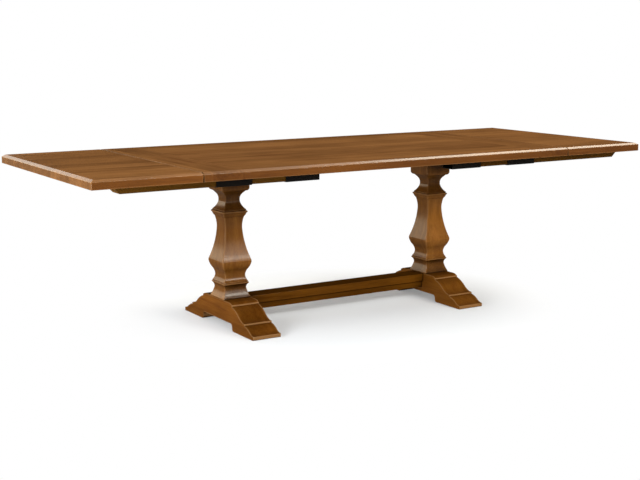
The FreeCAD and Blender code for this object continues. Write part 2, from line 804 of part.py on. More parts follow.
def make_post(side, sign, baluster):
    """A post with its square tenons, bored for the screws at both ends."""
    x = signed(pedestal_x, sign)
    stem = doc.addObject("App::Link", f"post_{side}_stem")
    stem.LinkedObject = baluster
    place(stem, x, ZERO, mm.foot_height)
    tenon = box(
        f"post_{side}_tenons", mm.tenon_width, mm.tenon_width,
        post_height + mm.foot_tenon_length + mm.cleat_tenon_length, x, ZERO,
        mm.foot_height - mm.foot_tenon_length)
    with_tenons = fuse(f"post_{side}_with_tenons", stem, tenon)
    holes = []
    for row, row_sign in ROWS:
        holes.append(cylinder(
            f"post_{side}_lag_hole_{row}", mm.bolt_diameter + mm.glue_fit * 2,
            mm.lag_grip + mm.overrun, x, signed(mm.lag_offset, row_sign),
            mm.foot_height - mm.overrun))
        holes.append(cylinder(
            f"post_{side}_cap_screw_hole_{row}", mm.cap_screw_shank + mm.glue_fit * 2,
            mm.cap_screw_length - mm.cleat_height + mm.overrun, x,
            signed(mm.cap_screw_offset, row_sign), underside - mm.cap_screw_length))
    keep(cut(f"post_{side}_drilled", with_tenons, group(f"post_{side}_holes", holes)),
         f"post_{side}")


def foot_rows():
    """Half of the foot outline, from the middle of the arch round to the top."""
    toe = mm.foot_length / 2
    flat_end = mm.foot_flat / 2
    pad_start = mm.arch_span / 2
    rise = mm.arch_height - mm.glide_stand
    half = []
    for row in reversed_rows(PAD_OUTLINE_SHARES):
        spots = []
        for in_share, up_share in zip(row[0::2], row[1::2]):
            spots += [pad_start - mm.pad_curve_width * in_share,
                      mm.glide_stand + rise * up_share]
        half.append(tuple(spots))
    half.append((toe, mm.glide_stand))
    for row in reversed_rows(FOOT_OUTLINE_SHARES):
        spots = []
        for out_share, up_share in zip(row[0::2], row[1::2]):
            spots += [flat_end + (toe - flat_end) * out_share,
                      mm.toe_height + (mm.foot_height - mm.toe_height) * up_share]
        half.append(tuple(spots))
    return half


def reversed_rows(rows):
    """The same outline walked from its other end."""
    turned = [rows[-1][-2:]]
    for index in range(len(rows) - 1, 0, -1):
        turned.append(rows[index][:-2] + rows[index - 1][-2:])
    return turned


def lag_length():
    """Length of a lag screw between its head and its tip."""
    return mm.foot_height - mm.arch_height - mm.lag_head_recess + mm.lag_grip


def make_foot(side, sign):
    """A foot with moulded toes, an arch between its pads and its joinery."""
    body = new_body(f"foot_{side}_body")
    sketch = new_sketch(body, "YZ_Plane")
    draw_outline(sketch, mirrored(foot_rows()))
    pad(body, sketch, mm.foot_width)
    x = signed(pedestal_x, sign)
    place(body, x, ZERO, ZERO)
    mortise_width = mm.tenon_width + mm.tenon_play * 2
    mortise_depth = mm.foot_tenon_length + mm.tenon_play
    tools = [box(
        f"foot_{side}_mortise", mortise_width, mortise_width, mortise_depth + mm.overrun,
        x, ZERO, mm.foot_height - mortise_depth)]
    for row, row_sign in ROWS:
        y = signed(mm.lag_offset, row_sign)
        tools.append(cylinder(
            f"foot_{side}_lag_hole_{row}", mm.bolt_diameter + mm.glue_fit * 2,
            mm.foot_height, x, y, mm.arch_height - mm.overrun))
        tools.append(cylinder(
            f"foot_{side}_lag_counterbore_{row}", mm.washer_diameter + mm.bolt_play * 2,
            mm.lag_head_recess + mm.overrun, x, y, mm.arch_height - mm.overrun))
    for number, y in enumerate(stud_rows()):
        tools.append(cylinder(
            f"foot_{side}_stud_hole_{number}", mm.bolt_diameter + mm.glue_fit * 2,
            mm.stud_grip + mm.overrun, signed(foot_inner_x - mm.overrun, sign), y, stud_height(),
            TOWARD_X if sign > 0 else AWAY_FROM_X))
    for number, (glide_x, glide_y) in enumerate(glide_places(sign)):
        tools.append(cylinder(
            f"foot_{side}_glide_seat_{number}", mm.glide_diameter + mm.glue_fit * 2,
            mm.glide_height + mm.overrun, glide_x, glide_y, -mm.overrun))
    keep(cut(f"foot_{side}_cut", body, group(f"foot_{side}_tools", tools)), f"foot_{side}")


def stud_rows():
    return [-mm.stud_spacing / 2, mm.stud_spacing / 2]


def stud_height():
    return rail_bottom + mm.rail_height / 2


def glide_places(sign):
    """Centres of the four glides under one foot."""
    centre = signed(pedestal_x, sign)
    across = mm.foot_width / 2 - mm.glide_inset_x
    outward = mm.foot_length / 2 - mm.glide_inset_y
    return [
        (centre + signed(across, x_sign), signed(outward, y_sign))
        for x_sign in (-1, 1)
        for y_sign in (-1, 1)
    ]


def make_glides():
    glides = []
    for side, sign in SIDES:
        for number, (x, y) in enumerate(glide_places(sign)):
            lower = mm.glide_diameter - mm.glide_rounding * 2
            rim = cone(f"glide_{side}_rim_{number}", lower, mm.glide_diameter,
                       mm.glide_rounding, x, y, ZERO)
            plug = cylinder(f"glide_{side}_plug_{number}", mm.glide_diameter,
                            mm.glide_height - mm.glide_rounding, x, y, mm.glide_rounding)
            glides.append(fuse(f"glide_{side}_{number}", plug, rim))
    keep(group("glides", glides), "foot_glides")


def make_lag_screws():
    """Hex lag screws from each foot up into its post."""
    screws = []
    seat = mm.arch_height + mm.lag_head_recess
    for side, sign in SIDES:
        for row, row_sign in ROWS:
            x = signed(pedestal_x, sign)
            y = signed(mm.lag_offset, row_sign)
            shank = cylinder(f"lag_shank_{side}_{row}", mm.bolt_diameter, lag_length(), x, y, seat)
            head = hex_prism(f"lag_head_{side}_{row}", mm.bolt_head_across, mm.bolt_head_height,
                             x, y, seat - mm.bolt_head_height)
            screws.append(fuse(f"lag_{side}_{row}", shank, head))
    keep(group("lag_screws", screws), "foot_lag_screws")


def make_cap_screws():
    """Countersunk screws from each cleat down into its post."""
    screws = []
    for side, sign in SIDES:
        for row, row_sign in ROWS:
            x = signed(pedestal_x, sign)
            y = signed(mm.cap_screw_offset, row_sign)
            shank = cylinder(f"cap_screw_shank_{side}_{row}", mm.cap_screw_shank,
                             mm.cap_screw_length, x, y, underside - mm.cap_screw_length)
            head = cone(f"cap_screw_head_{side}_{row}", mm.cap_screw_shank, mm.cap_screw_head,
                        mm.cap_screw_head_height, x, y, underside - mm.cap_screw_head_height)
            screws.append(fuse(f"cap_screw_{side}_{row}", shank, head))
    keep(group("cap_screws", screws), "post_cap_screws")


def make_top_fastenings():
    """Bolts, washers and threaded inserts that hold the top on the cleats."""
    bolts = []
    washers = []
    inserts = []
    head_seat = cleat_bottom - mm.washer_thickness
    for number, (x, y) in enumerate(top_bolt_places()):
        shank = cylinder(f"top_bolt_shank_{number}", mm.bolt_diameter, mm.bolt_length,
                         x, y, head_seat)
        head = hex_prism(f"top_bolt_head_{number}", mm.bolt_head_across, mm.bolt_head_height,
                         x, y, head_seat - mm.bolt_head_height)
        bolts.append(fuse(f"top_bolt_{number}", shank, head))
        disc = cylinder(f"top_washer_disc_{number}", mm.washer_diameter, mm.washer_thickness,
                        x, y, head_seat)
        bore = cylinder(f"top_washer_bore_{number}", mm.bolt_diameter + mm.glue_fit * 2,
                        mm.washer_thickness + mm.overrun * 2, x, y, head_seat - mm.overrun)
        washers.append(cut(f"top_washer_{number}", disc, bore))
        sleeve = cylinder(f"insert_sleeve_{number}", mm.insert_diameter, mm.insert_length,
                          x, y, underside)
        thread = cylinder(f"insert_thread_{number}", mm.bolt_diameter + mm.glue_fit * 2,
                          mm.insert_length + mm.overrun * 2, x, y, underside - mm.overrun)
        inserts.append(cut(f"top_insert_{number}", sleeve, thread))
    keep(group("top_bolt_group", bolts), "top_bolts")
    keep(group("top_washer_group", washers), "top_washers")
    keep(group("top_insert_group", inserts), "top_inserts")


def stretcher_board(name, length, x):
    """A length of the upper stretcher board with soft upper edges."""
    body = new_body(f"{name}_body")
    sketch = new_sketch(body, "YZ_Plane")
    half = [(mm.stretcher_width / 2, ZERO), (mm.stretcher_width / 2, mm.stretcher_board_height)]
    draw_outline(sketch, mirrored(half))
    solid = pad(body, sketch, length)
    top = mm.stretcher_board_height.value
    corners = [ALONG_Y * (mm.stretcher_width.value / 2 * flip) + Vector(0, 0, top)
               for flip in (-1, 1)]
    soften(body, solid, long_edges(solid.Shape, ALONG_X, corners), mm.stretcher_softening)
    place(body, x, ZERO, board_bottom)
    return body


def rail_screw_places():
    """Centres of the screws from the rail into the board and its end blocks."""
    block_x = foot_inner_x - mm.stretcher_block_length + mm.block_screw_inset
    board_stations = [mm.rail_screw_spacing * share for share in RAIL_SCREW_SHARES]
    return [(x, ZERO) for x in [-block_x] + board_stations + [block_x]]


def make_stretcher():
    """The upper board with its end blocks, and the rail below them."""
    pilots = [
        cylinder(
            f"rail_screw_pilot_{number}", mm.rail_screw_shank + mm.glue_fit * 2,
            mm.rail_screw_length + mm.overrun, x, y, rail_bottom - mm.overrun)
        for number, (x, y) in enumerate(rail_screw_places())
    ]
    pilot_group = group("rail_screw_pilots", pilots)
    half_board = foot_inner_x - mm.stretcher_block_length
    board = stretcher_board("stretcher_board", half_board * 2, ZERO)
    keep(cut("stretcher_board_drilled", board, pilot_group), "stretcher_top_board")
    for side, sign in SIDES:
        block_x = signed(foot_inner_x - mm.stretcher_block_length / 2, sign)
        block = stretcher_board(f"stretcher_block_{side}", mm.stretcher_block_length, block_x)
        keep(cut(f"stretcher_block_{side}_drilled", block, pilot_group),
             f"stretcher_end_block_{side}")
    rail = box("rail_blank", foot_inner_x * 2, mm.rail_width, mm.rail_height,
               ZERO, ZERO, rail_bottom)
    tools = []
    for number, (x, y) in enumerate(rail_screw_places()):
        tools.append(cylinder(
            f"rail_screw_seat_{number}", mm.rail_screw_head + mm.glue_fit * 2,
            mm.rail_screw_head_height + mm.overrun, x, y, rail_bottom - mm.overrun))
    for side, sign in SIDES:
        tools.append(box(
            f"rail_nut_pocket_{side}", mm.nut_pocket_length,
            mm.rail_width - mm.nut_pocket_side * 2, mm.nut_pocket_depth + mm.overrun,
            signed(foot_inner_x - mm.nut_pocket_start - mm.nut_pocket_length / 2, sign), ZERO,
            rail_bottom - mm.overrun))
        for number, y in enumerate(stud_rows()):
            tools.append(cylinder(
                f"rail_stud_hole_{side}_{number}", mm.bolt_diameter + mm.bolt_play * 2,
                mm.nut_pocket_start + mm.overrun * 2, signed(foot_inner_x + mm.overrun, sign),
                y, stud_height(), AWAY_FROM_X if sign > 0 else TOWARD_X))
    bored = cut("rail_bored", rail, group("rail_tools", tools))
    keep(cut("rail_drilled", bored, pilot_group), "stretcher_rail")


def make_rail_screws():
    screws = []
    for number, (x, y) in enumerate(rail_screw_places()):
        head = cylinder(f"rail_screw_head_{number}", mm.rail_screw_head,
                        mm.rail_screw_head_height, x, y, rail_bottom)
        shank = cylinder(f"rail_screw_shank_{number}", mm.rail_screw_shank,
                         mm.rail_screw_length, x, y, rail_bottom)
        screws.append(fuse(f"rail_screw_{number}", shank, head))
    keep(group("rail_screws", screws), "stretcher_screws")


def make_studs():
    """Studs out of each foot, with the washers and nuts in the rail's pockets."""
    studs = []
    washers = []
    nuts = []
    for side, sign in SIDES:
        outward = TOWARD_X if sign > 0 else AWAY_FROM_X
        washer_x = signed(foot_inner_x - mm.nut_pocket_start, sign)
        nut_x = washer_x - signed(mm.washer_thickness + mm.nut_height, sign)
        for number, y in enumerate(stud_rows()):
            z = stud_height()
            studs.append(cylinder(
                f"stud_{side}_{number}", mm.bolt_diameter, mm.stud_grip + mm.stud_reach,
                signed(foot_inner_x - mm.stud_reach, sign), y, z, outward))
            thread = mm.bolt_diameter + mm.glue_fit * 2
            bore_length = mm.washer_thickness + mm.nut_height + mm.overrun * 2
            disc = cylinder(f"stud_washer_disc_{side}_{number}", mm.washer_diameter,
                            mm.washer_thickness, washer_x - signed(mm.washer_thickness, sign),
                            y, z, outward)
            disc_bore = cylinder(f"stud_washer_bore_{side}_{number}", thread, bore_length,
                                 nut_x - signed(mm.overrun, sign), y, z, outward)
            washers.append(cut(f"stud_washer_{side}_{number}", disc, disc_bore))
            block = hex_prism(f"stud_nut_block_{side}_{number}", mm.nut_across, mm.nut_height,
                              nut_x, y, z, outward)
            nut_bore = cylinder(f"stud_nut_bore_{side}_{number}", thread, bore_length,
                                nut_x - signed(mm.overrun, sign), y, z, outward)
            nuts.append(cut(f"stud_nut_{side}_{number}", block, nut_bore))
    keep(group("studs", studs), "stretcher_studs")
    keep(group("stud_washers", washers), "stretcher_washers")
    keep(group("stud_nuts", nuts), "stretcher_nuts")


def build():
    drillings = group("top_drillings", peg_holes() + bracket_screw_holes() + insert_holes())
    make_main_top(drillings)
    for side, sign in SIDES:
        make_breadboard_end(side, sign, drillings)
    make_pegs()
    for side, sign in SIDES:
        make_leaf(side, sign)
    for side, side_sign in SIDES:
        for row, row_sign in ROWS:
            for station, centre in STATIONS:
                make_bracket(side, side_sign, row, row_sign, station, centre)
    make_bracket_screws()
    reaches = {"left": half_main + mm.slide_left_draw, "right": half_main + mm.slide_full_draw}
    for side, side_sign in SIDES:
        for row, row_sign in ROWS:
            make_slide(side, side_sign, row, row_sign, reaches[side])
    baluster = make_baluster()
    for side, sign in SIDES:
        make_cleat(side, sign)
        make_post(side, sign, baluster)
        make_foot(side, sign)
    make_top_fastenings()
    make_lag_screws()
    make_cap_screws()
    make_stretcher()
    make_rail_screws()
    make_studs()
    make_glides()


def check():
    """Stop before writing if any object failed."""
    for thing in doc.Objects:
        if "Invalid" in thing.State or "Error" in thing.State:
            raise RuntimeError(f"{thing.Label} failed: {thing.State}")
    for part in subparts:
        if part.Shape.isNull() or not part.Shape.isValid():
            raise RuntimeError(f"{part.Label} has no valid shape")


def write():
    os.makedirs("parts", exist_ok=True)
    for part in subparts:
        part.Shape.exportStep(f"parts/{part.Label}.step")
        print(f"{part.Label}: {len(part.Shape.Solids)} solids, {part.Shape.Volume:.0f} mm3")


build()
doc.recompute()
check()
write()
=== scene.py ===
import json
import math

import bmesh
import bpy
from mathutils import Matrix, Vector

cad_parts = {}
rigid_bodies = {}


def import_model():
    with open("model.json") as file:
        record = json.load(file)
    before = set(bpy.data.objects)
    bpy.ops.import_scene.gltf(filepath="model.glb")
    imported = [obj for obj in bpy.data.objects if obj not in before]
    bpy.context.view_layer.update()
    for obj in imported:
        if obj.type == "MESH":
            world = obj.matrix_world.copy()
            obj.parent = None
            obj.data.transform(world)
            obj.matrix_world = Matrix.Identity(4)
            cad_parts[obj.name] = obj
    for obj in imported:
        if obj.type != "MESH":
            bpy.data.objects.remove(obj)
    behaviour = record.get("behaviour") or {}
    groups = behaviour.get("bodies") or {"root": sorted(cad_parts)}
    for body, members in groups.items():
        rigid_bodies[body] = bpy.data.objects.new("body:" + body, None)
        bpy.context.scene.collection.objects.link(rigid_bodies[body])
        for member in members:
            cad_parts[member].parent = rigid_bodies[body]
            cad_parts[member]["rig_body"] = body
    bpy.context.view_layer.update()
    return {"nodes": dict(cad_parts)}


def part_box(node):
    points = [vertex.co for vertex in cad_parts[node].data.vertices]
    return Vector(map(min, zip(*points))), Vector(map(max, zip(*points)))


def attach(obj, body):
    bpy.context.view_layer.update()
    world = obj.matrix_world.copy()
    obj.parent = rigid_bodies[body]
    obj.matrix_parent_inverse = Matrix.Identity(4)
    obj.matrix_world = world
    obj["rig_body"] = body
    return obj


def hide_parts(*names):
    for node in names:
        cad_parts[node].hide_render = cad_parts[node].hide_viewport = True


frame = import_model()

# Looks of an extending trestle table. Metres, Z up, the same frame as the CAD
# part: X along the top, the origin on the floor under its middle.

SIDES = ("left", "right")
ROWS = ("front", "back")
STATIONS = ("inner", "outer")

# The table top's edges
TOP_BEVEL_WIDTH = 0.014
TOP_BEVEL_DROP = 0.008
TOP_ARRIS = 0.0030
TOP_FACE_INSET = TOP_BEVEL_WIDTH * 2
UNDER_ARRIS = 0.0012
UNDER_FACE_INSET = UNDER_ARRIS * 3
CORNER_RADIUS = 0.0032
SEAM_BREAK = 0.0029
JOINT_BREAK = 0.0002
JOINT_CORNER = 0.0004

# The other pieces' edges
POST_ARRIS = 0.0012
POST_CORNER = 0.0024
FOOT_ARRIS = 0.0013
BOARD_ARRIS = 0.0012
STEEL_ARRIS = 0.0004
SLIDE_LIP = 0.003

# How outlines and meshes are worked out
OUTLINE_ROUNDING = 1.6
ARC_STEPS = 4
ARC_ROOM = 0.45
SAME_PLACE = 1e-5
PLACE_DIGITS = 5
SHARP_TURN = math.radians(18)
STRAIGHT_TURN = math.radians(0.5)
LEAST_LEAN = 0.35
SMOOTH_ANGLE = math.radians(40)
FACE_AREA_WEIGHT = 100


# Outlines

def turn_at(before, here, after):
    """How far an outline turns at a point, in radians."""
    first = here - before
    second = after - here
    if first.length < SAME_PLACE or second.length < SAME_PLACE:
        return 0.0
    return first.angle(second)


def without_straight_points(points):
    """A closed outline without the points that lie on a straight run."""
    count = len(points)
    return [
        points[i] for i in range(count)
        if turn_at(points[i - 1], points[i], points[(i + 1) % count]) > STRAIGHT_TURN
    ]


def rounded(points, radius, closed=True):
    """The outline with its sharp corners turned into short arcs.

    An arc starts at most ARC_ROOM of the shorter side from its corner.
    """
    made = []
    count = len(points)
    for i, here in enumerate(points):
        at_end = not closed and i in (0, count - 1)
        before = points[i - 1]
        after = points[(i + 1) % count]
        turn = 0.0 if at_end else turn_at(before, here, after)
        if turn < SHARP_TURN:
            made.append(here)
            continue
        room = ARC_ROOM * min((here - before).length, (after - here).length)
        reach = min(radius * math.tan(turn / 2), room)
        start = here + (before - here).normalized() * reach
        end = here + (after - here).normalized() * reach
        for step in range(ARC_STEPS + 1):
            t = step / ARC_STEPS
            made.append(start * (1 - t) ** 2 + here * (2 * t * (1 - t)) + end * t ** 2)
    return made


def area(points):
    """Signed area of a closed outline."""
    return sum(
        a.x * b.y - b.x * a.y for a, b in zip(points, points[1:] + points[:1])) / 2


def inset(points, distance):
    """The closed outline, moved inward by a distance along its corner lines.

    LEAST_LEAN keeps the points of very sharp corners from moving far.
    """
    count = len(points)
    moved = []
    for i, here in enumerate(points):
        first = (here - points[i - 1]).normalized()
        second = (points[(i + 1) % count] - here).normalized()
        bisector = Vector((-first.y - second.y, first.x + second.x))
        if bisector.length < SAME_PLACE:
            moved.append(here)
            continue
        bisector.normalize()
        lean = max(LEAST_LEAN, bisector.dot(Vector((-first.y, first.x))))
        moved.append(here + bisector * (distance / lean))
    return moved


def end_outline(node):
    """The outer outline, in Y and Z, of a node's flat end at its high X side."""
    mesh = bmesh.new()
    mesh.from_mesh(frame["nodes"][node].data)
    bmesh.ops.remove_doubles(mesh, verts=mesh.verts, dist=SAME_PLACE)
    low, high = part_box(node)
    faces = [
        face for face in mesh.faces
        if all(abs(vert.co.x - high.x) < SAME_PLACE for vert in face.verts)
    ]
    following = {}
    for face in faces:
        for loop in face.loops:
            others = [other for other in loop.edge.link_faces if other is not face]
            if not any(other in faces for other in others):
                following[loop.vert] = loop.link_loop_next.vert
    outlines = []
    while following:
        start, here = following.popitem()
        run = [start]
        while here is not start:
            run.append(here)
            here = following.pop(here)
        outlines.append([Vector((vert.co.y, vert.co.z)) for vert in run])
    mesh.free()
    outline = max(outlines, key=lambda points: abs(area(points)))
    if area(outline) < 0:
        outline.reverse()
    return without_straight_points(outline)


# Meshes

def finish_piece(name, node, mesh, material):
    """Turn a bmesh into a shown piece that stands for a node and rides on its body."""
    bmesh.ops.recalc_face_normals(mesh, faces=mesh.faces)
    data = bpy.data.meshes.new(name)
    mesh.to_mesh(data)
    mesh.free()
    for polygon in data.polygons:
        polygon.use_smooth = True
    data.set_sharp_from_angle(angle=SMOOTH_ANGLE)
    piece = bpy.data.objects.new(name, data)
    bpy.context.scene.collection.objects.link(piece)
    weighted = piece.modifiers.new("even_faces", "WEIGHTED_NORMAL")
    weighted.keep_sharp = True
    weighted.weight = FACE_AREA_WEIGHT
    data.materials.append(material)
    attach(piece, frame["nodes"][node]["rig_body"])
    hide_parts(node)


def loft(rings):
    """A closed solid through rings of the same number of points."""
    mesh = bmesh.new()
    rows = [[mesh.verts.new(point) for point in ring] for ring in rings]
    count = len(rows[0])
    for lower, upper in zip(rows, rows[1:]):
        for i in range(count):
            j = (i + 1) % count
            mesh.faces.new((lower[i], lower[j], upper[j], upper[i]))
    mesh.faces.new(rows[0][::-1])
    mesh.faces.new(rows[-1])
    return mesh


def prism(outline, axis, start, end, rim):
    """An outline drawn along X (0) or Y (1).

    Each end face lies a rim's depth inside the piece, with a sloping edge round it.
    """

    def ring(along, points):
        if axis == 0:
            return [Vector((along, p.x, p.y)) for p in points]
        return [Vector((p.x, along, p.y)) for p in points]

    slope = []
    for step in range(ARC_STEPS + 1):
        depth = rim * (1 - math.sin(math.pi / 2 * step / ARC_STEPS))
        slope.append((depth, inset(outline, depth)))
    rings = [ring(start + depth, points) for depth, points in slope]
    rings += [ring(end - depth, points) for depth, points in reversed(slope)]
    return loft(rings)


def rounded_rectangle(x0, x1, y0, y1, z, left_radius, right_radius):
    """Points round a rectangle with small round corners."""
    corners = [
        (x1, y0, -90, right_radius), (x1, y1, 0, right_radius),
        (x0, y1, 90, left_radius), (x0, y0, 180, left_radius)]
    points = []
    for x, y, start, radius in corners:
        centre_x = x - math.copysign(radius, x - (x0 + x1) / 2)
        centre_y = y - math.copysign(radius, y - (y0 + y1) / 2)
        for step in range(ARC_STEPS + 1):
            angle = math.radians(start + 90 * step / ARC_STEPS)
            points.append(Vector((
                centre_x + radius * math.cos(angle), centre_y + radius * math.sin(angle), z)))
    return points


def edge_profile():
    """Inset and height above the underside of a bevelled edge, from the bottom up."""
    low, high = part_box("main_top_panel")
    thickness = high.z - low.z
    corners = [
        Vector((UNDER_FACE_INSET, 0)),
        Vector((0, 0)),
        Vector((0, thickness - TOP_BEVEL_DROP)),
        Vector((TOP_BEVEL_WIDTH, thickness)),
        Vector((TOP_FACE_INSET, thickness)),
    ]
    lower = rounded(corners[:3], UNDER_ARRIS, closed=False)
    upper = rounded(corners[1:], TOP_ARRIS, closed=False)
    return lower[:-1] + upper[1:]


def slab(name, node, material, x0, x1, left_edge, right_edge):
    """A board of the top, bevelled front and back.

    Each end is either "bevel" or the size of its small broken edge.
    """
    low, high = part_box("main_top_panel")
    profile = edge_profile()
    top = profile[-1].y
    edges = (left_edge, right_edge)
    corner_radii = [JOINT_CORNER if edge == JOINT_BREAK else CORNER_RADIUS for edge in edges]
    rings = []
    for point in profile:
        left, right = (
            point.x if edge == "bevel" else max(0.0, point.y - (top - edge), edge - point.y)
            for edge in edges)
        rings.append(rounded_rectangle(
            x0 + left, x1 - right, low.y + point.x, high.y - point.x, low.z + point.y,
            *corner_radii))
    finish_piece(name, node, loft(rings), material)


def post_profile(node, centre_x):
    """Half widths and heights along a post's mitred corner, above its lower tenon."""
    spots = set()
    for vert in frame["nodes"][node].data.vertices:
        x = vert.co.x - centre_x
        if x > 0 and abs(x - vert.co.y) < SAME_PLACE:
            spots.add((round(vert.co.z, PLACE_DIGITS), round(vert.co.y, PLACE_DIGITS)))
    tenon = min(y for z, y in spots)
    return [Vector((y, z)) for z, y in sorted(spots) if y > tenon + SAME_PLACE]


def post(side, material):
    """A square baluster post with soft mitred corners."""
    node = f"post_{side}"
    low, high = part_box(node)
    centre_x = (low.x + high.x) / 2
    profile = rounded(post_profile(node, centre_x), POST_ARRIS, closed=False)
    rings = [
        rounded_rectangle(
            centre_x - p.x, centre_x + p.x, -p.x, p.x, p.y, POST_CORNER, POST_CORNER)
        for p in profile
    ]
    finish_piece(f"wood_{node}", node, loft(rings), material)


def drawn_piece(node, arris, material):
    """A piece with one section all along X, taken from the node's own end face."""
    low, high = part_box(node)
    outline = rounded(end_outline(node), arris * OUTLINE_ROUNDING)
    finish_piece(f"shaped_{node}", node, prism(outline, 0, low.x, high.x, arris), material)


def slide(row, side, material):
    """A wooden slide with the lower corner of its outer end cut off."""
    node = f"leaf_slide_{row}_{side}"
    low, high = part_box(node)
    cut = high.z - low.z - SLIDE_LIP
    outline = [
        Vector((low.x, low.z)),
        Vector((high.x - cut, low.z)),
        Vector((high.x, high.z - SLIDE_LIP)),
        Vector((high.x, high.z)),
        Vector((low.x, high.z)),
    ]
    if side == "left":
        outline = [Vector((low.x + high.x - p.x, p.y)) for p in outline][::-1]
    outline = rounded(outline, BOARD_ARRIS * OUTLINE_ROUNDING)
    mesh = prism(outline, 1, low.y, high.y, BOARD_ARRIS)
    finish_piece(f"shaped_{node}", node, mesh, material)


# Node trees

CORNER_SAMPLES = 8


class Graph:
    """A node tree, built up by short calls. Ranges are pairs of numbers."""

    def __init__(self, tree):
        self.tree = tree
        tree.nodes.clear()

    def feed(self, socket, value):
        """Give a socket a plain value or another node's output."""
        if isinstance(value, bpy.types.NodeSocket):
            self.tree.links.new(value, socket)
        else:
            socket.default_value = value

    def node(self, kind, inputs=None, **settings):
        """A new node, with its settings and then its inputs by name or number."""
        made = self.tree.nodes.new(kind)
        for name, value in settings.items():
            setattr(made, name, value)
        for key, value in (inputs or {}).items():
            self.feed(made.inputs[key], value)
        return made

    def surface(self, inputs):
        """The material's shader with its inputs, joined to the output."""
        shader = self.node("ShaderNodeBsdfPrincipled", inputs)
        self.node("ShaderNodeOutputMaterial", {"Surface": shader.outputs["BSDF"]})

    def parts(self, vector):
        return self.node("ShaderNodeSeparateXYZ", {0: vector}).outputs

    def position(self):
        return self.node("ShaderNodeTexCoord").outputs["Object"]

    def direction(self):
        """The parts of the surface's direction along X, Y and Z."""
        return self.parts(self.node("ShaderNodeNewGeometry").outputs["True Normal"])

    def math(self, operation, *values):
        inputs = dict(enumerate(values))
        return self.node("ShaderNodeMath", inputs, operation=operation).outputs[0]

    def weighted(self, values, shares):
        """The sum of values, each times its share."""
        total = 0.0
        for value, share in zip(values, shares):
            total = self.math("MULTIPLY_ADD", value, share, total)
        return total

    def scaled(self, vector, scale, offset=(0, 0, 0)):
        inputs = {"Vector": vector, "Scale": scale, "Location": offset}
        return self.node("ShaderNodeMapping", inputs).outputs["Vector"]

    def noise(self, vector, scale, detail, roughness, distortion=0.0):
        return self.node("ShaderNodeTexNoise", {
            "Vector": vector, "Scale": scale, "Detail": detail, "Roughness": roughness,
            "Distortion": distortion}).outputs["Fac"]

    def spread(self, value, old, new=(0.0, 1.0)):
        """Stretch a value's range to a new one, held inside it."""
        return self.node("ShaderNodeMapRange", {
            "Value": value, "From Min": old[0], "From Max": old[1],
            "To Min": new[0], "To Max": new[1]}).outputs["Result"]

    def mix(self, share, first, second, blend="MIX"):
        return self.node(
            "ShaderNodeMix", {"Factor": share, "A": first, "B": second},
            data_type="RGBA", blend_type=blend).outputs["Result"]

    def closed_in(self, distance, shares, inside=False):
        """How much is in the way within a distance: 0 in the open, towards 1 in a corner.

        Looked at from inside the piece, the corners are its outer edges. The pair of shares
        says how open the surroundings are for 0 and for 1.
        """
        node = self.node(
            "ShaderNodeAmbientOcclusion", {"Distance": distance},
            samples=CORNER_SAMPLES, inside=inside)
        return self.spread(node.outputs["AO"], shares)

    def rise(self):
        """The upward part of the surface's direction: 0 on upright faces, 1 on level ones."""
        return self.spread(self.direction()[2], (0.0, 1.0))

    def facing_sides(self, old, new=(0.0, 1.0)):
        """How far the surface looks to the front or the back, stretched to a new range."""
        return self.spread(self.math("ABSOLUTE", self.direction()[1]), old, new)

    def bump(self, height, strength, distance):
        return self.node("ShaderNodeBump", {
            "Height": height, "Strength": strength, "Distance": distance}).outputs["Normal"]


def new_material(name):
    """An empty material and the graph of its nodes."""
    material = bpy.data.materials.new(name)
    material.use_nodes = True
    return material, Graph(material.node_tree)


def colour(red, green, blue):
    """A linear colour with full alpha."""
    return (red, green, blue, 1.0)


def dimmed(tone, share):
    """A colour times a share."""
    return colour(*(part * share for part in tone[:3]))


# Wood

# How much the noise is scaled along the grain, and which way its boards lie
GRAIN_ALONG = {"x": (0.045, 1.0, 1.0), "y": (1.0, 0.045, 1.0), "z": (1.0, 1.0, 0.045)}
PATCHES_ALONG = {"x": (0.2, 1.0, 1.0), "y": (1.0, 0.2, 1.0), "z": (1.0, 1.0, 0.2)}
BOARD_ACROSS = {"x": 1, "y": 0, "z": 0}
BOARD_SHIFT = 7.0

# Scale, detail, roughness and distortion of the noises
FIGURE = (34.0, 4.0, 0.55, 0.9)
STREAKS = (260.0, 3.0, 0.6)
PORES = (1500.0, 2.0, 0.7)
CLOUDS = (3.2, 2.0, 0.5)
PATCHES = (11.0, 3.0, 0.55)

# Stain: the shares of figure, streaks, clouds and boards in its tone, and how dark it gets.
# SHADE is how dark the painted shade colour is; the pale colour after it is for wear and
# painted highlight
TONE_SHARES = (0.50, 0.34, 0.30, 0.16)
TONE_RANGE = (0.46, 0.86)
PORE_RANGE = (0.60, 0.74)
PORE_SHARES = (0.0, 0.28)
PATCH_RANGE = (0.34, 0.66)
SHADE = 0.16
# The pale colour of arrises and front faces: partly wear, partly painted highlight
WORN_AND_HIGHLIGHT = colour(0.42, 0.22, 0.085)

# Painted shade on faces to the front, wear and painted highlight on edges, joints, and
# painted shade in crevices and hollows
FRONT_RANGE = (0.95, 0.99)
EDGE_SHARES = (0.97, 0.66)
JOINT_RANGE = (0.004, 0.007)
CREVICE_REACH = 0.006
CREVICE_SHARES = (0.96, 0.68)
CREVICE_DARK = 0.9
HOLLOW_REACH = 0.09
HOLLOW_SHARES = (0.97, 0.76)
HOLLOW_SIDES = (0.3, 0.7)
HOLLOW_AT_ENDS = 0.72

# Lacquer and relief: the shares are of clouds and streaks, and of streaks and pores
MIDDLE_OF_NOISE = (0.3, 0.7)
ROUGHNESS_SHARES = (0.5, 0.5)
WOOD_ROUGHNESS = (0.48, 0.60)
COAT_ROUGHNESS = 0.2
LEVEL_RANGE = (0.93, 0.99)
LEVEL_COAT = 0.35
BARE_CREVICE = 0.55
RELIEF_SHARES = (0.7, 0.3)
WOOD_BUMP = (0.12, 0.0006)


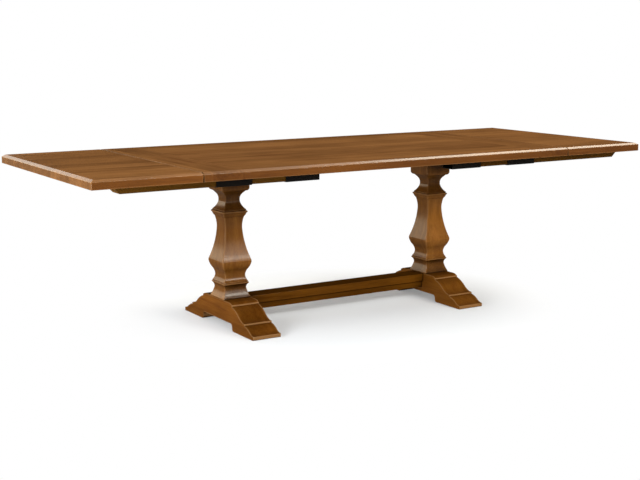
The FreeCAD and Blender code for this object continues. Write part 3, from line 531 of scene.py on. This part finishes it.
def board_grain(g, place, grain, board):
    """A tone for each glued-up board, and places with a run of grain of its own."""
    across = g.parts(place)[BOARD_ACROSS[grain]]
    number = g.math("FLOOR", g.math("DIVIDE", across, board))
    tone = g.node(
        "ShaderNodeTexWhiteNoise", {"W": number}, noise_dimensions="1D").outputs["Value"]
    shift = g.math("MULTIPLY", tone, BOARD_SHIFT)
    shifts = g.node("ShaderNodeCombineXYZ", {0: shift, 1: shift, 2: shift}).outputs[0]
    along = g.scaled(place, GRAIN_ALONG[grain])
    run = g.node("ShaderNodeVectorMath", {0: along, 1: shifts}, operation="ADD")
    return tone, run.outputs["Vector"]


def worn_and_highlit_edges(g, edge, joint):
    """Where edges are pale from wear and painted highlight: 1 on outer edges and 0 elsewhere,
    and also 0 beside a glued joint.
    """
    worn_and_highlight = g.closed_in(edge, EDGE_SHARES, inside=True)
    if joint:
        off_centre = g.math("ABSOLUTE", g.parts(g.position())[0])
        beside = g.math("ABSOLUTE", g.math("SUBTRACT", off_centre, joint))
        worn_and_highlight = g.math("MULTIPLY", worn_and_highlight, g.spread(beside, JOINT_RANGE))
    return worn_and_highlight


def stained_wood(name, grain, dark, light, offset, board=0.5, worn_and_highlight=WORN_AND_HIGHLIGHT, coat=0.4,
                 edge=0.005, edge_share=0.38, hollow_shade=0.0, level_shade=0.0, front=None, riser_highlight=0.0,
                 mottle=0.0, joint=None):
    """Brown stained hardwood in boards, with streaks, pores, pale arrises and dark corners:
    wear and painted highlight on the arrises, painted shade in the corners.

    Grain is the axis that it runs along, offset the place in the noise, board a board's
    width and coat the lacquer's weight. Edge and edge_share are the width of the pale
    arrises and how pale they are: partly wear, partly painted highlight. The hollow and
    level shares say how much painted shade darkens the hollows and the level faces, and
    mottle how uneven the stain is. The front tint is painted shade on the upright faces that
    look to the front and the back, and the riser share is how much painted highlight pales
    them. Joint is how far from the middle a glued joint lies, beside which no edge is pale.
    """
    material, g = new_material(name)
    place = g.scaled(g.position(), (1, 1, 1), offset)
    board_tone, run = board_grain(g, place, grain, board)
    figure = g.noise(run, *FIGURE)
    streaks = g.noise(run, *STREAKS)
    pores = g.noise(run, *PORES)
    cloud = g.noise(place, *CLOUDS)

    tone = g.weighted((figure, streaks, cloud, board_tone), TONE_SHARES)
    base = g.mix(g.spread(tone, TONE_RANGE), dark, light)
    base = g.mix(g.spread(pores, PORE_RANGE, PORE_SHARES), base, dark)
    if mottle:
        patches = g.noise(g.scaled(place, PATCHES_ALONG[grain]), *PATCHES)
        patches = g.spread(patches, PATCH_RANGE, (1 - mottle, 1 + mottle))
        base = g.mix(1.0, base, patches, "MULTIPLY")

    shade = dimmed(dark, SHADE)
    # Painted shade: level faces darkened toward the shade colour
    if level_shade:
        base = g.mix(g.math("MULTIPLY", g.rise(), level_shade), base, shade)
    # Painted shade: a darker, redder tint on faces to the front and the back
    if front:
        base = g.mix(g.facing_sides(FRONT_RANGE), base, front, "MULTIPLY")
    # Painted highlight: faces to the front and the back paled toward the pale edge colour
    if riser_highlight:
        base = g.mix(g.math("MULTIPLY", g.facing_sides(FRONT_RANGE), riser_highlight), base, worn_and_highlight)
    # Pale arrises: partly wear, partly painted highlight
    if edge_share:
        base = g.mix(g.math("MULTIPLY", worn_and_highlit_edges(g, edge, joint), edge_share), base, worn_and_highlight)
    # Painted shade in creases and inner corners
    crevice_shade = g.math("MULTIPLY", g.closed_in(CREVICE_REACH, CREVICE_SHARES), CREVICE_DARK)
    dark_share = crevice_shade
    # Painted shade in hollows, stronger on faces to the front and the back
    if hollow_shade:
        sides = g.facing_sides(HOLLOW_SIDES, (hollow_shade * HOLLOW_AT_ENDS, hollow_shade))
        deep = g.math("MULTIPLY", g.closed_in(HOLLOW_REACH, HOLLOW_SHARES), sides)
        dark_share = g.math("MAXIMUM", crevice_shade, deep)

    film = g.spread(g.rise(), LEVEL_RANGE, (coat, coat * LEVEL_COAT))
    open_share = g.spread(crevice_shade, (0.0, BARE_CREVICE), (1.0, 0.0))
    unevenness = g.weighted((cloud, streaks), ROUGHNESS_SHARES)
    relief = g.weighted((streaks, pores), RELIEF_SHARES)
    g.surface({
        "Base Color": g.mix(dark_share, base, shade),
        "Roughness": g.spread(unevenness, MIDDLE_OF_NOISE, WOOD_ROUGHNESS),
        "Specular IOR Level": 0.0,
        "Coat Weight": g.math("MULTIPLY", film, open_share),
        "Coat Roughness": COAT_ROUGHNESS,
        "Normal": g.bump(relief, *WOOD_BUMP),
    })
    return material


TOP_TONES = (colour(0.111, 0.0455, 0.0135), colour(0.235, 0.105, 0.0335))
POST_TONES = (colour(0.130, 0.0455, 0.0060), colour(0.280, 0.110, 0.0195))
FOOT_TONES = (colour(0.118, 0.037, 0.0035), colour(0.260, 0.096, 0.0130))
RAIL_TONES = (colour(0.075, 0.025, 0.0015), colour(0.175, 0.064, 0.0060))
SLIDE_TONES = (colour(0.155, 0.064, 0.0062), colour(0.290, 0.127, 0.0160))
BARE_TONES = (colour(0.42, 0.29, 0.16), colour(0.60, 0.44, 0.27))

panel_end, main_end = (corner.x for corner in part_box("breadboard_end_right"))
leaf_start, leaf_end = (corner.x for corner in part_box("leaf_right"))

# In the finishes: the front tint is painted shade on faces to the front and back, the level
# and hollow shares are painted shade, the riser share is painted highlight, and the pale
# edges are partly wear, partly painted highlight
TOP_FINISH = {
    "coat": 0.5, "board": 0.11, "edge_share": 0.25, "front": colour(0.73, 0.56, 0.31),
    "mottle": 0.09, "joint": panel_end}
POST_FINISH = {
    "coat": 0.36, "edge": 0.008, "edge_share": 0.35, "hollow_shade": 0.95, "mottle": 0.16}
FOOT_FINISH = {
    "coat": 0.22, "edge": 0.006, "edge_share": 0.4, "hollow_shade": 0.25, "level_shade": 0.45,
    "riser_highlight": 0.65, "mottle": 0.16}
RAIL_FINISH = {"coat": 0.10, "edge_share": 0.0, "hollow_shade": 0.3, "level_shade": 0.5}
SLIDE_FINISH = {"coat": 0.15, "hollow_shade": 0.3}
BARE_FINISH = {"worn_and_highlight": colour(0.62, 0.48, 0.32)}

# Of each wood: the grain's axis, its tones, its place in the noise and its finish
WOODS = {
    "top_panel_wood": ("x", TOP_TONES, (0, 0, 0), TOP_FINISH),
    "end_left_wood": ("y", TOP_TONES, (3.1, 0.4, 0), TOP_FINISH),
    "end_right_wood": ("y", TOP_TONES, (5.3, 1.7, 0), TOP_FINISH),
    "leaf_left_wood": ("x", TOP_TONES, (7.7, 2.3, 0), TOP_FINISH),
    "leaf_right_wood": ("x", TOP_TONES, (9.1, 3.1, 0), TOP_FINISH),
    "post_wood": ("z", POST_TONES, (1.3, 0.2, 0.6), POST_FINISH),
    "foot_wood": ("y", FOOT_TONES, (2.9, 0.5, 0.1), FOOT_FINISH),
    "rail_wood": ("x", RAIL_TONES, (0.7, 0.9, 0.4), RAIL_FINISH),
    "slide_wood": ("x", SLIDE_TONES, (4.1, 0.3, 0.2), SLIDE_FINISH),
    "cleat_wood": ("y", SLIDE_TONES, (6.1, 0.8, 0.3), SLIDE_FINISH),
    "bare_wood": ("x", BARE_TONES, (8.3, 1.9, 0.5), BARE_FINISH),
}
wood = {
    name: stained_wood(name, grain, *tones, offset, **finish)
    for name, (grain, tones, offset, finish) in WOODS.items()
}

# Metal and nylon

METAL_GRAIN = (900.0, 3.0, 0.6)
METAL_CLOUDS = (40.0, 2.0, 0.5)
METAL_DIM = 0.8
METAL_UNEVENNESS = 0.07
METAL_BUMP = (0.15, 0.0002)


def plain_surface(name, base, roughness, metallic=1.0, specular=0.5):
    """Metal, powder coat or nylon with a fine uneven finish."""
    material, g = new_material(name)
    place = g.position()
    grain = g.noise(place, *METAL_GRAIN)
    cloud = g.noise(place, *METAL_CLOUDS)
    roughnesses = (roughness - METAL_UNEVENNESS, roughness + METAL_UNEVENNESS)
    g.surface({
        "Base Color": g.mix(g.spread(cloud, MIDDLE_OF_NOISE), base, dimmed(base, METAL_DIM)),
        "Roughness": g.spread(grain, MIDDLE_OF_NOISE, roughnesses),
        "Metallic": metallic,
        "Specular IOR Level": specular,
        "Normal": g.bump(grain, *METAL_BUMP),
    })
    return material


black_steel = plain_surface(
    "black_steel", colour(0.0062, 0.0040, 0.0025), roughness=0.5, metallic=0.0, specular=0.15)
zinc = plain_surface("zinc_plate", colour(0.58, 0.58, 0.57), roughness=0.36)
brass = plain_surface("brass", colour(0.62, 0.44, 0.18), roughness=0.34)
nylon = plain_surface(
    "brown_nylon", colour(0.085, 0.052, 0.030), roughness=0.50, metallic=0.0, specular=0.4)

# Pieces

slab("wood_main_panel", "main_top_panel", wood["top_panel_wood"],
     -panel_end, panel_end, JOINT_BREAK, JOINT_BREAK)
slab("wood_end_right", "breadboard_end_right", wood["end_right_wood"],
     panel_end, main_end, JOINT_BREAK, SEAM_BREAK)
slab("wood_end_left", "breadboard_end_left", wood["end_left_wood"],
     -main_end, -panel_end, SEAM_BREAK, JOINT_BREAK)
slab("wood_leaf_right", "leaf_right", wood["leaf_right_wood"],
     leaf_start, leaf_end, SEAM_BREAK, "bevel")
slab("wood_leaf_left", "leaf_left", wood["leaf_left_wood"],
     -leaf_end, -leaf_start, "bevel", SEAM_BREAK)

for side in SIDES:
    post(side, wood["post_wood"])
    drawn_piece(f"foot_{side}", FOOT_ARRIS, wood["foot_wood"])
    drawn_piece(f"top_cleat_{side}", BOARD_ARRIS, wood["cleat_wood"])
    drawn_piece(f"stretcher_end_block_{side}", BOARD_ARRIS, wood["rail_wood"])
    for row in ROWS:
        slide(row, side, wood["slide_wood"])
        for station in STATIONS:
            drawn_piece(f"bracket_{row}_{side}_{station}", STEEL_ARRIS, black_steel)
drawn_piece("stretcher_top_board", BOARD_ARRIS, wood["rail_wood"])

# Nodes that are shown as the CAD has them
cad_shown = (
    (wood["rail_wood"], ("stretcher_rail",)),
    (wood["bare_wood"], ("breadboard_pegs", "leaf_dowels_left", "leaf_dowels_right")),
    (black_steel, ("bracket_screws",)),
    (brass, ("top_inserts",)),
    (nylon, ("foot_glides",)),
    (zinc, ("top_bolts", "top_washers", "foot_lag_screws", "post_cap_screws",
            "stretcher_screws", "stretcher_studs", "stretcher_washers", "stretcher_nuts")),
)
for material, names in cad_shown:
    for name in names:
        data = frame["nodes"][name].data
        data.materials.clear()
        data.materials.append(material)

# Camera, as the photograph was taken

PHOTO_WIDTH = 640
FOCAL_PIXELS = 1193.6
SENSOR_WIDTH = 36.0
CAMERA_PLACE = (-2.9409, -4.6898, 1.3002)
CAMERA_YAW = -31.384
CAMERA_PITCH = -9.947
CAMERA_ROLL = -0.087

camera_data = bpy.data.cameras.new("camera")
camera_data.sensor_width = SENSOR_WIDTH
camera_data.lens = FOCAL_PIXELS / PHOTO_WIDTH * SENSOR_WIDTH
camera = bpy.data.objects.new("camera", camera_data)
bpy.context.scene.collection.objects.link(camera)
camera.matrix_world = (
    Matrix.Translation(CAMERA_PLACE)
    @ Matrix.Rotation(math.radians(CAMERA_YAW), 4, "Z")
    @ Matrix.Rotation(math.radians(90 + CAMERA_PITCH), 4, "X")
    @ Matrix.Rotation(math.radians(CAMERA_ROLL), 4, "Z"))
bpy.context.scene.camera = camera

# Floor

FLOOR_HALF = 30.0
FLOOR_COLOUR = colour(0.705, 0.733, 0.767)
FLOOR_ROUGHNESS = 0.7
FLOOR_SPECULAR = 0.1
BOUNCE_COLOUR = colour(0.25, 0.25, 0.25)
FLOOR_LIFT = 0.22
FADE_REACH = (0.95, 0.80)
FADE_RANGE = (0.75, 1.20)
FAR_REACH = (1.0, 1.0)
FAR_RANGE = (10.0, 14.0)


def white_floor():
    """A pale floor that keeps shadows near the object and is plain white further out."""
    material, g = new_material("white_floor")
    place = g.parts(g.position())

    def radius(reach):
        """The distance from the middle, in shares of the reach along X and Y."""
        return g.math("SQRT", g.math("ADD", *(
            g.math("POWER", g.math("DIVIDE", place[i], reach[i]), 2.0) for i in (0, 1))))

    path = g.node("ShaderNodeLightPath")
    seen = path.outputs["Is Camera Ray"]
    mirrored = path.outputs["Is Glossy Ray"]
    plain = g.node("ShaderNodeBsdfPrincipled", {
        "Base Color": g.mix(seen, BOUNCE_COLOUR, FLOOR_COLOUR),
        "Roughness": FLOOR_ROUGHNESS,
        "Specular IOR Level": FLOOR_SPECULAR,
    })
    lift = g.node("ShaderNodeEmission", {"Strength": g.math("MULTIPLY", seen, FLOOR_LIFT)})
    lifted = g.node("ShaderNodeAddShader", {
        0: plain.outputs["BSDF"], 1: lift.outputs["Emission"]})
    white = g.node("ShaderNodeEmission", {"Strength": 1.0})
    near = g.math("MULTIPLY", seen, g.spread(radius(FADE_REACH), FADE_RANGE))
    far = g.math("MULTIPLY", mirrored, g.spread(radius(FAR_REACH), FAR_RANGE))
    faded = g.node("ShaderNodeMixShader", {
        "Fac": g.math("ADD", near, far),
        1: lifted.outputs["Shader"],
        2: white.outputs["Emission"],
    })
    g.node("ShaderNodeOutputMaterial", {"Surface": faded.outputs["Shader"]})
    return material


floor_mesh = bmesh.new()
bmesh.ops.create_grid(floor_mesh, x_segments=1, y_segments=1, size=FLOOR_HALF)
floor_data = bpy.data.meshes.new("floor")
floor_mesh.to_mesh(floor_data)
floor_mesh.free()
floor = bpy.data.objects.new("floor", floor_data)
floor_data.materials.append(white_floor())
bpy.context.scene.collection.objects.link(floor)

# World: dim near the horizon, paler overhead, white to the camera

WORLD_HEIGHTS = (0.25, 0.50)
WORLD_STRENGTHS = (0.02, 0.32)

world = bpy.data.worlds.new("studio")
bpy.context.scene.world = world
world.use_nodes = True
sky = Graph(world.node_tree)
height = sky.parts(sky.node("ShaderNodeTexCoord").outputs["Generated"])[2]
room = sky.node("ShaderNodeBackground", {
    "Strength": sky.spread(height, WORLD_HEIGHTS, WORLD_STRENGTHS)})
backdrop = sky.node("ShaderNodeBackground", {"Color": colour(1, 1, 1), "Strength": 1.0})
chosen = sky.node("ShaderNodeMixShader", {
    "Fac": sky.node("ShaderNodeLightPath").outputs["Is Camera Ray"],
    1: room.outputs["Background"],
    2: backdrop.outputs["Background"],
})
sky.node("ShaderNodeOutputWorld", {"Surface": chosen.outputs["Shader"]})

# Lamps

LAMP_CENTRE = Vector((0.0, 0.0, 0.6))
WHITE_LIGHT = (1, 1, 1)

# Azimuth, elevation and distance from the centre, width, height, radiance and tint
SOFTBOXES = {
    "key_right": (14, 42, 5.5, 1.7, 2.4, 12.0, (1.0, 0.925, 0.77)),
    "bevel": (36, 54, 5.2, 2.2, 1.4, 3.0, (1.0, 0.95, 0.88)),
    "ceiling": (-90, 78, 3.0, 4.2, 2.4, 0.8, WHITE_LIGHT),
    "front_right": (-71, 22.7, 4.8, 1.8, 0.6, 31.0, (1.0, 0.97, 0.86)),
    "front_low": (-66, 12, 4.8, 2.2, 0.9, 4.5, (1.0, 0.93, 0.82)),
    "front_left": (-100, 30, 5.0, 3.2, 1.1, 7.5, WHITE_LIGHT),
    "left": (-172, 15, 4.2, 2.6, 1.8, 9.5, WHITE_LIGHT),
    "left_low": (-150, 1, 4.2, 2.2, 0.9, 7.0, WHITE_LIGHT),
    "back_high": (103, 19.7, 5.2, 2.6, 1.1, 3.3, (1.0, 0.95, 0.86)),
    "back_left": (122.5, 7.8, 5.25, 1.9, 1.6, 5.6, (1.0, 0.88, 0.66)),
}


def softbox(name, azimuth, elevation, distance, width, height, radiance, tint):
    """A soft lamp in a direction seen from the table, turned towards it."""
    turn = math.radians(azimuth)
    lift = math.radians(elevation)
    away = Vector((
        math.cos(turn) * math.cos(lift), math.sin(turn) * math.cos(lift), math.sin(lift)))
    data = bpy.data.lights.new(name, "AREA")
    data.shape = "RECTANGLE"
    data.size = width
    data.size_y = height
    data.energy = radiance * math.pi * width * height
    data.color = tint
    lamp = bpy.data.objects.new(name, data)
    lamp.location = LAMP_CENTRE + away * distance
    lamp.rotation_euler = away.to_track_quat("Z", "Y").to_euler()
    bpy.context.scene.collection.objects.link(lamp)


for name, row in SOFTBOXES.items():
    softbox(name, *row)

bpy.context.scene.view_settings.view_transform = "Standard"
